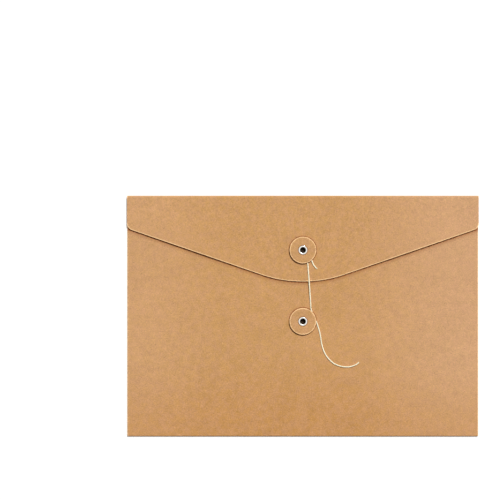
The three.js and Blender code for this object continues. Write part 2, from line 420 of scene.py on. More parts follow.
@dataclass(frozen=True)
class KraftFinish:
    """Unbleached kraft card with clouds, flocs, fibres and bark specks, and a painted highlight, partly
    wear, on its cut edges and crests.
    """

    name: str = "kraft"
    middle: Colour = screen_colour(201, 152, 94)
    outer: Colour = screen_colour(210, 163, 117)
    lower: Colour = screen_colour(195, 142, 81)
    rosy: Colour = screen_colour(206, 154, 122)
    # Painted highlight colour for cut edges and fold crests, partly edge wear.
    worn_highlight: Colour = screen_colour(255, 210, 156)
    pale_fibre: Colour = screen_colour(232, 192, 148)
    dark_fibre: Colour = screen_colour(150, 103, 62)
    speck: Colour = screen_colour(104, 68, 40)
    # Painted shadow colour, multiplied in under the flap's edge and round the buttons and eyelets.
    painted_shadow: Colour = screen_colour(172, 113, 46)
    # Painted shade colour, nearly black, for the spots under the eyelets' bores.
    painted_bore_shade: Colour = screen_colour(14, 11, 11)
    reach: ToneReach = ToneReach()
    cloud_size: float = 60 * MM
    drift_size: float = 14 * MM
    floc_size: float = 4.5 * MM
    blush_size: float = 5 * MM
    blush_from: float = 0.36
    blush_to: float = 0.64
    blush_strength: float = 0.34
    grain_size: float = 1.1 * MM
    shade_breakup_size: float = 2.6 * MM
    tooth_size: float = 0.22 * MM
    swings: Swings = Swings()
    pale_strand: Strand = Strand(2.86 * MM, 2.2 * MM, 0.09 * MM, 0.8)
    short_strand: Strand = Strand(1.32 * MM, 1.1 * MM, 0.09 * MM, 0.6)
    dark_strand: Strand = Strand(3.74 * MM, 2.64 * MM, 0.09 * MM, 0.6)
    bark_speck: Strand = Strand(7.7 * MM, 1.1 * MM, 0.36 * MM, 0.5)
    fibre_strength: float = 0.5
    speck_strength: float = 0.6
    highlight_from: float = 0.08
    highlight_to: float = 0.42
    bump_depth: float = 0.05 * MM
    bump_strength: float = 0.7
    bore_shade_spots: tuple[float, ...] = ()
    shade_spot_radius: float = 4.2 * MM
    shade_spot_core: float = 0.55
    shade_spot_wander: float = 0.45
    shade_spot_depth: float = 0.95
    shadow_rings: tuple[ShadowRing, ...] = ()
    flap_shadow_outline: FlapOutline | None = None
    shadow_line_width: float = 2.5 * MM
    shadow_line_core: float = 0.35
    shadow_line_depth: float = 0.84
    shadow_line_gaps: float = 0.45
    shadow_line_fade: float = 0.6
    soft_shadow_width: float = 5.5 * MM
    soft_shadow_depth: float = 0.4

    def tone(self, bench: NodeBench) -> Socket:
        """The card's slow change of tone from its middle to its sides and its bottom.

        Args:
            bench: The material's bench.

        Returns:
            The colour.
        """
        x, y, _ = bench.add("SeparateXYZ", {0: bench.place}).outputs
        reach = self.reach
        rightwards = bench.band(x, reach.right_from, reach.right_to)
        leftwards = bench.band(x, reach.left_from, reach.left_to, 0, reach.left_share)
        downwards = bench.band(y, reach.down_from, reach.down_to)
        colour = bench.mix(downwards, self.middle, self.lower)
        sideways = bench.maths("MAXIMUM", rightwards, leftwards)
        fade = bench.band(y, reach.side_fade_from, reach.down_to, 1, reach.side_share)
        sideways = bench.maths("MULTIPLY", sideways, fade)
        return bench.mix(sideways, colour, self.outer)

    def shadowed(self, bench: NodeBench, colour: Socket) -> Socket:
        """Paints shadow round the buttons and eyelets and under the flap's edge, and painted shade spots
        under the eyelets' bores.

        Args:
            bench: The material's bench.
            colour: The card's colour so far.

        Returns:
            The colour with the painted shadow and shade.
        """
        shade_breakup = bench.noise(self.shade_breakup_size, 3, 0.6)
        # Painted shadow rings round the buttons and the flanges.
        for ring in self.shadow_rings:
            away = bench.maths("SUBTRACT", bench.from_axis(ring.middle_y), ring.radius)
            away = bench.maths("ABSOLUTE", away)
            shadow_mask = bench.band(away, ring.core * ring.width, ring.width / 2, ring.depth, 0)
            colour = bench.mix(shadow_mask, colour, self.painted_shadow, "MULTIPLY")
        # Painted shadow under the flap's edge: a dark line and a soft tail, faded out under the flap.
        if self.flap_shadow_outline:
            beyond = self.flap_shadow_outline.beyond(bench)
            inside = bench.band(beyond, -self.shadow_line_fade * self.shadow_line_width, 0)
            core = self.shadow_line_core * self.shadow_line_width
            line = bench.band(beyond, core, self.shadow_line_width, self.shadow_line_depth, 0)
            line = bench.maths("MULTIPLY", line, bench.band(shade_breakup, 0.3, 0.62, self.shadow_line_gaps, 1))
            soft_shadow = bench.band(beyond, 0, self.soft_shadow_width, self.soft_shadow_depth, 0)
            shadow_mask = bench.maths("MULTIPLY", bench.maths("MAXIMUM", line, soft_shadow), inside)
            colour = bench.mix(shadow_mask, colour, self.painted_shadow, "MULTIPLY")
        # Painted shade spots on the card under the eyelets, which make their bores look dark.
        for spot_y in self.bore_shade_spots:
            away = bench.vary(bench.from_axis(spot_y), (shade_breakup, self.shade_spot_wander * self.shade_spot_radius))
            core = self.shade_spot_core * self.shade_spot_radius
            spot = bench.band(away, core, self.shade_spot_radius, self.shade_spot_depth, 0)
            colour = bench.mix(spot, colour, self.painted_bore_shade)
        return colour

    def material(self) -> bpy.types.Material:
        """Builds the card's material.

        Returns:
            The material.
        """
        bench = NodeBench(self.name)
        clouds = bench.noise(self.cloud_size)
        drifts = bench.noise(self.drift_size, 2)
        flocs = bench.noise(self.floc_size, 4, 0.62)
        grain = bench.noise(self.grain_size, 2)
        tooth = bench.noise(self.tooth_size, 2)
        light = bench.vary(
            1.0,
            (clouds, self.swings.clouds),
            (drifts, self.swings.drifts),
            (flocs, self.swings.flocs),
            (grain, self.swings.grain),
            (tooth, self.swings.tooth),
        )
        blush = bench.noise(self.blush_size, 4, 0.7)
        blush = bench.band(blush, self.blush_from, self.blush_to, 0, self.blush_strength)
        colour = bench.mix(blush, self.tone(bench), self.rosy)
        colour = bench.mix(1.0, colour, light, "MULTIPLY")

        pale = bench.maths("MAXIMUM", bench.strewn(self.pale_strand), bench.strewn(self.short_strand))
        dark = bench.strewn(self.dark_strand)
        specks = bench.strewn(self.bark_speck)
        colour = bench.mix(bench.maths("MULTIPLY", pale, self.fibre_strength), colour, self.pale_fibre)
        colour = bench.mix(bench.maths("MULTIPLY", dark, self.fibre_strength), colour, self.dark_fibre)
        colour = bench.mix(bench.maths("MULTIPLY", specks, self.speck_strength), colour, self.speck)

        # Painted highlight, partly wear: this per-point share pales the cut edges and fold crests.
        wear = bench.add("Attribute", attribute_name="wear").outputs["Fac"]
        wear = bench.vary(wear, (grain, 0.45), (flocs, 0.3), (tooth, 0.15))
        wear = bench.band(wear, self.highlight_from, self.highlight_to)
        colour = self.shadowed(bench, bench.mix(wear, colour, self.worn_highlight))

        relief = bench.vary(0.5, (tooth, 0.5), (grain, 0.5), (flocs, 0.35))
        relief = bench.maths("MULTIPLY_ADD", pale, 0.3, relief)
        bench.set(
            Base_Color=colour,
            Roughness=bench.vary(0.84, (flocs, 0.16), (tooth, 0.1)),
            Normal=bench.bump(relief, self.bump_depth, self.bump_strength),
            Specular_IOR_Level=0.22,
        )
        return bench.material


@dataclass(frozen=True)
class EyeletFinish:
    """Bright plated metal with small scuffs, rougher and with painted shade in its barrel and at its seat.
    """

    name: str = "eyelet_metal"
    plate: Colour = (0.90, 0.865, 0.80, 1.0)
    scuff: Colour = (0.60, 0.57, 0.52, 1.0)
    # Painted shade colour for the barrel and the seat.
    painted_shade: Colour = (0.04, 0.036, 0.032, 1.0)
    scuff_size: float = 0.9 * MM
    scuff_strength: float = 0.6
    scratch_length: float = 2.4 * MM
    scratch_width: float = 0.07 * MM
    scratch_turn: float = 25
    roughness: float = 0.3
    bump_depth: float = 0.012 * MM

    def material(self) -> bpy.types.Material:
        """Builds the plated metal.

        Returns:
            The material.
        """
        bench = NodeBench(self.name)
        scuffs = bench.band(bench.noise(self.scuff_size, 3, 0.6), 0.54, 0.72)
        strokes = bench.stretched(self.scratch_length, self.scratch_width, self.scratch_turn)
        scratches = bench.noise(1, 2, place=strokes)
        # Painted shade and dullness inside the barrel and at the seat.
        dull_and_shaded = bench.add("Attribute", attribute_name="wear").outputs["Fac"]
        dull_and_shaded = bench.band(bench.vary(dull_and_shaded, (scratches, 0.2)), 0.1, 0.9)
        scuffed = bench.maths("MULTIPLY", scuffs, self.scuff_strength)
        plate = bench.mix(scuffed, self.plate, self.scuff)
        bench.set(
            Base_Color=bench.mix(dull_and_shaded, plate, self.painted_shade),
            Metallic=1.0,
            Roughness=bench.vary(self.roughness, (scratches, 0.2), (scuffs, 0.14), (dull_and_shaded, 0.3)),
            Normal=bench.bump(scratches, self.bump_depth, 0.5),
        )
        return bench.material


@dataclass(frozen=True)
class CottonFinish:
    """Unbleached cotton string, whose fibres follow the twist of its plies."""

    name: str = "cotton"
    pale: Colour = screen_colour(255, 252, 228)
    deep: Colour = screen_colour(255, 241, 203)
    fibre_size: float = 0.32
    slub_size: float = 3.5 * MM
    depth_start: float = 0.34
    roughness: float = 0.88
    bump_depth: float = 0.04 * MM

    def material(self) -> bpy.types.Material:
        """Builds the cotton.

        Returns:
            The material.
        """
        bench = NodeBench(self.name)
        strand = bench.add("Attribute", attribute_name="strand").outputs["Vector"]
        fibres = bench.noise(self.fibre_size, 3, place=strand)
        slubs = bench.noise(self.slub_size, 2)
        depth = bench.vary(self.depth_start, (fibres, 1.1), (slubs, 0.4))
        depth = bench.add("Clamp", {0: depth}).outputs[0]
        bench.set(
            Base_Color=bench.mix(depth, self.pale, self.deep),
            Roughness=bench.vary(self.roughness, (fibres, 0.12)),
            Normal=bench.bump(fibres, self.bump_depth, 0.6),
            Specular_IOR_Level=0.2,
            Sheen_Weight=0.2,
            Sheen_Roughness=0.5,
        )
        return bench.material


@dataclass(frozen=True)
class GlueFinish:
    """A rolled line of dried paste."""

    name: str = "dried_paste"
    clear: Colour = screen_colour(226, 214, 186)
    thick: Colour = screen_colour(240, 234, 216)
    ripple_width: float = 1.2 * MM
    ripple_length: float = 6 * MM
    roughness: float = 0.45
    bump_depth: float = 0.05 * MM

    def material(self) -> bpy.types.Material:
        """Builds the paste.

        Returns:
            The material.
        """
        bench = NodeBench(self.name)
        strokes = bench.stretched(self.ripple_width, self.ripple_length, 0)
        ripples = bench.noise(1, 2, place=strokes)
        bench.set(
            Base_Color=bench.mix(ripples, self.clear, self.thick),
            Roughness=bench.vary(self.roughness, (ripples, 0.25)),
            Normal=bench.bump(ripples, self.bump_depth),
        )
        return bench.material


def deselect_all() -> None:
    """Leaves object mode with nothing selected."""
    if bpy.context.object and bpy.context.object.mode != "OBJECT":
        bpy.ops.object.mode_set(mode="OBJECT")
    bpy.ops.object.select_all(action="DESELECT")


def make_active(piece: Piece) -> None:
    """Selects one piece alone.

    Args:
        piece: The piece.
    """
    deselect_all()
    piece.select_set(True)
    bpy.context.view_layer.objects.active = piece


@contextmanager
def editing(piece: Piece, element: Element = Element.FACE) -> Iterator[None]:
    """Opens one piece in edit mode with all of it selected.

    Args:
        piece: The piece to edit.
        element: What the selection works on.

    Yields:
        Nothing, while edit mode is open.
    """
    make_active(piece)
    bpy.ops.object.mode_set(mode="EDIT")
    bpy.ops.mesh.select_mode(type=element.value)
    bpy.ops.mesh.select_all(action="SELECT")
    yield
    bpy.ops.object.mode_set(mode="OBJECT")


def pick(piece: Piece, element: Element, test: Callable[[object], bool]) -> None:
    """Selects, in edit mode, the elements that pass a test, and no others.

    Args:
        piece: The piece in edit mode.
        element: Whether vertices, edges or faces are tested.
        test: Says whether an element is wanted.
    """
    bpy.ops.mesh.select_mode(type=element.value)
    bpy.ops.mesh.select_all(action="DESELECT")
    mesh = bmesh.from_edit_mesh(piece.data)
    sequence = {Element.VERTEX: mesh.verts, Element.EDGE: mesh.edges, Element.FACE: mesh.faces}[element]
    for item in sequence:
        if test(item):
            item.select_set(True)
    mesh.select_flush_mode()
    bmesh.update_edit_mesh(piece.data)


def middle(item: bmesh.types.BMEdge) -> Vector:
    """The middle of an edge."""
    return (item.verts[0].co + item.verts[1].co) / 2


def apply_modifier(piece: Piece, kind: str, **settings: object) -> None:
    """Adds a modifier to a piece and applies it.

    Args:
        piece: The piece to change.
        kind: The modifier's type.
        **settings: The modifier's own settings.
    """
    make_active(piece)
    modifier = piece.modifiers.new(kind.title(), kind)
    for name, value in settings.items():
        setattr(modifier, name, value)
    bpy.ops.object.modifier_apply(modifier=modifier.name)


def settle(piece: Piece, smooth_degrees: float = 35) -> Piece:
    """Moves a piece's place into its mesh and smooths its shading.

    Args:
        piece: The shaped piece.
        smooth_degrees: The sharpest turn that is still shaded as smooth.

    Returns:
        The piece.
    """
    make_active(piece)
    bpy.ops.object.transform_apply(location=True, rotation=True, scale=True)
    bpy.ops.object.shade_smooth_by_angle(angle=math.radians(smooth_degrees))
    return piece


def set_wear_and_painted_light(piece: Piece, wear: Callable[[Vector], float]) -> None:
    """Writes each point's share of wear and painted light, from 0 to 1.

    Args:
        piece: The piece to mark.
        wear: Gives the share of wear and painted light at a place.
    """
    layer = piece.data.attributes.get("wear") or piece.data.attributes.new("wear", "FLOAT", "POINT")
    for vertex, value in zip(piece.data.vertices, layer.data):
        value.value = wear(vertex.co)


def copy_piece(piece: Piece, name: str, shift: Vector = Vector(), mirror: bool = False) -> Piece:
    """Copies a finished piece with a mesh of its own, moved or mirrored across the folder's middle.

    Args:
        piece: The piece to copy.
        name: The copy's name.
        shift: How far the copy moves.
        mirror: Whether it goes to the other side of X.

    Returns:
        The copy.
    """
    make_active(piece)
    bpy.ops.object.duplicate()
    copy = bpy.context.object
    copy.name = name
    copy.data.name = name
    with editing(copy):
        bpy.ops.transform.translate(value=shift)
        if mirror:
            bpy.ops.transform.resize(value=(-1, 1, 1), center_override=(0, 0, 0))
            bpy.ops.mesh.flip_normals()
    return copy


def dress(piece: Piece, finish: bpy.types.Material, slot: Slot, body: Body, *nodes: str) -> None:
    """Gives a piece its material and its body, and hides the nodes that it stands for.

    Args:
        piece: The finished piece.
        finish: Its material.
        slot: Not used.
        body: The body that it rides on.
        *nodes: The nodes that it replaces.
    """
    if not piece.data.materials:
        piece.data.materials.append(finish)
    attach(piece, body.value)
    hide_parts(*nodes)
    LOG.info("%s: %d faces, rides on %s", piece.name, len(piece.data.polygons), body.value)


@dataclass(frozen=True)
class CardStock:
    """The sizes that every piece of the card sheet shares."""

    thickness: float
    rim: float = 0.95 * MM
    soft_edge: float = 0.08 * MM
    cell: float = 7 * MM
    lead: float = 0.5 * MM
    waste: float = 4 * MM
    sway_period: float = 90 * MM
    cut_wear_highlight: float = 0.5


class CardSheet:
    """A flat piece of card on the bench, cut as one face and then given its thickness."""

    def __init__(self, name: str, low: Vector, high: Vector, stock: CardStock) -> None:
        """Lays a rectangle of card down, its upper face at the height of its high corner.

        Args:
            name: The piece's name.
            low: Its lowest corner.
            high: Its highest corner.
            stock: The card that it is cut from.
        """
        self.stock = stock
        deselect_all()
        centre = ((low.x + high.x) / 2, (low.y + high.y) / 2, high.z)
        bpy.ops.mesh.primitive_plane_add(size=1, location=centre)
        self.piece = bpy.context.object
        self.piece.name = name
        self.piece.data.name = name
        self.piece.scale = (high.x - low.x, high.y - low.y, 1)
        bpy.ops.object.transform_apply(location=True, rotation=True, scale=True)
        self.seams: list[tuple[Vector, Vector]] = []

    def trim(self, point: Vector, outward: Vector) -> None:
        """Cuts away what lies on the outer side of a straight line."""
        with editing(self.piece):
            bpy.ops.mesh.bisect(plane_co=point, plane_no=outward, clear_outer=True)

    def trim_seam(self, point: Vector, outward: Vector) -> None:
        """Cuts the sheet at a line where it goes on as a fold."""
        self.trim(point, outward)
        self.seams.append((point, outward))

    def cut_out(self, lines: Sequence[tuple[Vector, Vector]]) -> None:
        """Cuts away the corner that lies on the outer side of every given line.

        Args:
            lines: A point of each line and its outward direction.
        """
        with editing(self.piece):
            for point, outward in lines:
                bpy.ops.mesh.select_all(action="SELECT")
                bpy.ops.mesh.bisect(plane_co=point, plane_no=outward)

            def outside(face: bmesh.types.BMFace) -> bool:
                """Whether a face lies in the corner."""
                return all((face.calc_center_median() - point).dot(outward) > 0 for point, outward in lines)

            pick(self.piece, Element.FACE, outside)
            bpy.ops.mesh.delete(type="FACE")

    def round_corner(self, corner: Vector, radius: float, turn: float, segments: int) -> None:
        """Rounds one corner of the outline to an arc.

        Args:
            corner: Where the corner is.
            radius: The arc's radius.
            turn: How far the outline turns there, in radians.
            segments: How many straight pieces the arc has.
        """
        half = turn / 2
        bulge = 1 / (2 * (1 + math.cos(half)))
        with editing(self.piece, Element.VERTEX):
            pick(self.piece, Element.VERTEX, lambda vertex: (vertex.co - corner).length < 0.01 * MM)
            bpy.ops.mesh.bevel(
                offset=radius * math.tan(half),
                segments=segments,
                profile=(1 - bulge) ** 2,
                affect="VERTICES",
                clamp_overlap=False,
            )

    def mark_rim(self) -> None:
        """Adds the narrow band along the cut edge that gets the painted highlight, which also stands for
        wear.
        """
        with editing(self.piece):
            bpy.ops.mesh.inset(thickness=self.stock.rim, depth=0)

    def rule(self) -> None:
        """Rules the sheet into cells, so that it can sway."""
        corners = [Vector(corner) for corner in self.piece.bound_box]
        with editing(self.piece):
            for axis in (0, 1):
                low = min(corner[axis] for corner in corners)
                high = max(corner[axis] for corner in corners)
                count = max(2, round((high - low) / self.stock.cell))
                across = Vector((axis == 0, axis == 1, 0))
                for step in range(1, count):
                    line = across * (low + (high - low) * step / count)
                    bpy.ops.mesh.select_all(action="SELECT")
                    bpy.ops.mesh.bisect(plane_co=line, plane_no=across)

    def on_seam(self, place: Vector) -> bool:
        """Whether a point lies on one of the lines where the sheet goes on as a fold."""
        return any(abs((place - point).dot(outward)) < 0.01 * MM for point, outward in self.seams)

    def paint_rim_highlight(self, strength: Callable[[Vector], float] | None = None) -> None:
        """Gives the cut edge a painted highlight that also stands for wear, and the seams none.

        Args:
            strength: How strong the highlight is at a place, from 0 to 1, if not as the stock says.
        """
        strength = strength or (lambda place: self.stock.cut_wear_highlight)
        mesh = bmesh.new()
        mesh.from_mesh(self.piece.data)
        edge = {
            tuple(vertex.co)
            for line in mesh.edges
            if line.is_boundary and not self.on_seam(middle(line))
            for vertex in line.verts
        }
        mesh.free()
        set_wear_and_painted_light(self.piece, lambda place: strength(place) if tuple(place) in edge else 0.0)

    def sway(self, height: float, free: Callable[[Vector], float]) -> None:
        """Lets the sheet rise and dip a little, as card does.

        Args:
            height: From its lowest to its highest.
            free: How free each point is to move, from 0 to 1.
        """
        group = self.piece.vertex_groups.new(name="free")
        for vertex in self.piece.data.vertices:
            group.add([vertex.index], free(vertex.co), "REPLACE")
        clouds = bpy.data.textures.new(f"{self.piece.name}_sway", "CLOUDS")
        clouds.noise_scale = self.stock.sway_period
        clouds.noise_depth = 0
        apply_modifier(
            self.piece,
            "DISPLACE",
            texture=clouds,
            texture_coords="LOCAL",
            direction="Z",
            strength=height,
            mid_level=0.5,
            vertex_group=group.name,
        )
        self.piece.vertex_groups.clear()
        bpy.data.textures.remove(clouds)

    def lift(self, height: float, share: Callable[[Vector], float]) -> None:
        """Raises part of the sheet.

        Args:
            height: How far its freest point rises.
            share: The share of that height at each point.
        """
        group = self.piece.vertex_groups.new(name="lifted")
        for vertex in self.piece.data.vertices:
            group.add([vertex.index], share(vertex.co), "REPLACE")
        apply_modifier(
            self.piece,
            "DISPLACE",
            direction="Z",
            strength=height,
            mid_level=0,
            vertex_group=group.name,
        )
        self.piece.vertex_groups.clear()

    def thicken(self) -> None:
        """Gives the sheet its thickness below its upper face and softens its cut edges."""
        apply_modifier(self.piece, "SOLIDIFY", thickness=self.stock.thickness, offset=-1)
        with editing(self.piece, Element.EDGE):

            def cut_arris(edge: bmesh.types.BMEdge) -> bool:
                """Whether an edge is an arris of the cut rim."""
                sharp = edge.is_manifold and edge.calc_face_angle() > math.radians(50)
                return sharp and not self.on_seam(middle(edge))

            pick(self.piece, Element.EDGE, cut_arris)
            bpy.ops.mesh.bevel(offset=self.stock.soft_edge, segments=2, clamp_overlap=True)

    def punch(self, x: float, y: float, radius: float) -> None:
        """Punches a round hole.

        Args:
            x: The hole's middle across the folder.
            y: Its middle up the folder.
            radius: Its radius.
        """
        deselect_all()
        bpy.ops.mesh.primitive_cylinder_add(vertices=64, radius=radius, depth=10 * MM, location=(x, y, 0))
        cutter = bpy.context.object
        apply_modifier(self.piece, "BOOLEAN", object=cutter, operation="DIFFERENCE", solver="EXACT")
        bpy.data.objects.remove(cutter)


class FoldAxis(Enum):
    """Which way a fold runs."""

    X = (1, 0, 0)
    Y = (0, 1, 0)


class CardFold:
    """A rounded fold of the card sheet with a short flat lead at both ends, where it meets the panels."""

    STEPS = 20

    def __init__(
        self,
        name: str,
        axis: FoldAxis,
        centre: Vector,
        length: float,
        outward: Vector,
        stock: CardStock,
    ) -> None:
        """Bends a strip of card half way round.

        Args:
            name: The piece's name.
            axis: Which way the fold runs.
            centre: The middle of the bend.
            length: How long the fold is.
            outward: Which way the bend bulges.
            stock: The card that is bent.
        """
        self.stock = stock
        self.centre = centre
        self.outward = outward
        self.along = Vector(axis.value)
        self.half = length / 2
        deselect_all()
        bpy.ops.mesh.primitive_plane_add(size=1, location=(centre.x, centre.y, stock.thickness / 2))
        self.piece = bpy.context.object
        self.piece.name = name
        self.piece.data.name = name
        with editing(self.piece):
            self.section(axis, length)
            lead = outward * stock.lead
            bpy.ops.transform.translate(value=-lead)
            bpy.ops.mesh.extrude_region_move(TRANSFORM_OT_translate={"value": lead})
            turn = outward.cross(Vector((0, 0, 1)))
            bpy.ops.mesh.spin(steps=self.STEPS, angle=-math.pi, center=centre, axis=turn)
            bpy.ops.mesh.extrude_region_move(TRANSFORM_OT_translate={"value": -lead})
            self.band_ends()
            bpy.ops.mesh.select_all(action="SELECT")
            bpy.ops.mesh.remove_doubles(threshold=EPSILON)
            bpy.ops.mesh.normals_make_consistent(inside=False)

    def section(self, axis: FoldAxis, length: float) -> None:
        """Turns the new square into the card's section, which stands across the sheet.

        Args:
            axis: Which way the fold runs.
            length: How long it is.
        """
        if axis is FoldAxis.X:
            turn_axis, size = "X", (length, self.stock.thickness, 1)
        else:
            turn_axis, size = "Y", (self.stock.thickness, length, 1)
        middle_place = (self.centre.x, self.centre.y, self.stock.thickness / 2)
        bpy.ops.transform.resize(value=size, center_override=middle_place)
        bpy.ops.transform.rotate(value=math.pi / 2, orient_axis=turn_axis, center_override=middle_place)

    def band_ends(self) -> None:
        """Cuts a narrow band at both ends of the fold, where the cut edge gets the painted highlight."""
        for side in (-1, 1):
            bpy.ops.mesh.select_all(action="SELECT")
            cut = self.centre + self.along * side * (self.half - self.stock.rim)
            bpy.ops.mesh.bisect(plane_co=cut, plane_no=self.along)

    def wear(self, crest: float) -> None:
        """Gives the crest and both ends of the fold a painted highlight that also stands for wear.

        Args:
            crest: How strong the highlight is on the crest.
        """

        def worn_highlight(place: Vector) -> float:
            """How strong the painted highlight is at one place.

            Args:
                place: The place.

            Returns:
                The highlight's share, from 0 to 1.
            """
            if abs((place - self.centre).dot(self.along)) > self.half - EPSILON:
                return self.stock.cut_wear_highlight
            away = place - self.centre
            away -= self.along * away.dot(self.along)
            return crest * ease(2 * away.normalized().dot(self.outward))

        set_wear_and_painted_light(self.piece, worn_highlight)


def turn_ring(name: str, profile: Sequence[tuple[float, float]], sides: int = 96) -> Piece:
    """Builds a closed ring about Z by drawing a circle of edges from each profile point to the next.

    Args:
        name: The piece's name.
        profile: Radius and height of each point, round the ring's section.
        sides: How many sides the ring has.

    Returns:
        The piece, about the Z axis.
    """
    deselect_all()
    radius, height = profile[0]
    bpy.ops.mesh.primitive_circle_add(vertices=sides, radius=radius)
    piece = bpy.context.object
    piece.name = name
    piece.data.name = name
    with editing(piece, Element.EDGE):
        bpy.ops.transform.translate(value=(0, 0, height))
        for (radius, height), (next_radius, next_height) in pairwise(profile):
            rise = (0, 0, next_height - height)
            bpy.ops.mesh.extrude_edges_move(TRANSFORM_OT_translate={"value": rise})
            grow = next_radius / radius
            bpy.ops.transform.resize(value=(grow, grow, 1), center_override=(0, 0, next_height))
        pick(piece, Element.EDGE, lambda edge: edge.is_boundary)
        bpy.ops.mesh.bridge_edge_loops()
        bpy.ops.mesh.select_all(action="SELECT")
        bpy.ops.mesh.normals_make_consistent(inside=False)
    return piece


def arc_points(
    centre: tuple[float, float],
    size: tuple[float, float],
    start: float,
    end: float,
    steps: int,
) -> list[tuple[float, float]]:
    """Points on part of an ellipse in a ring's section.

    Args:
        centre: Radius and height of its middle.
        size: Its half width and half height.
        start: The first angle, in degrees from outwards.
        end: The last angle.
        steps: How many straight pieces it has.

    Returns:
        Radius and height of each point.
    """
    points = []
    for step in range(steps + 1):
        angle = math.radians(start + (end - start) * step / steps)
        points.append((centre[0] + size[0] * math.cos(angle), centre[1] + size[1] * math.sin(angle)))
    return points


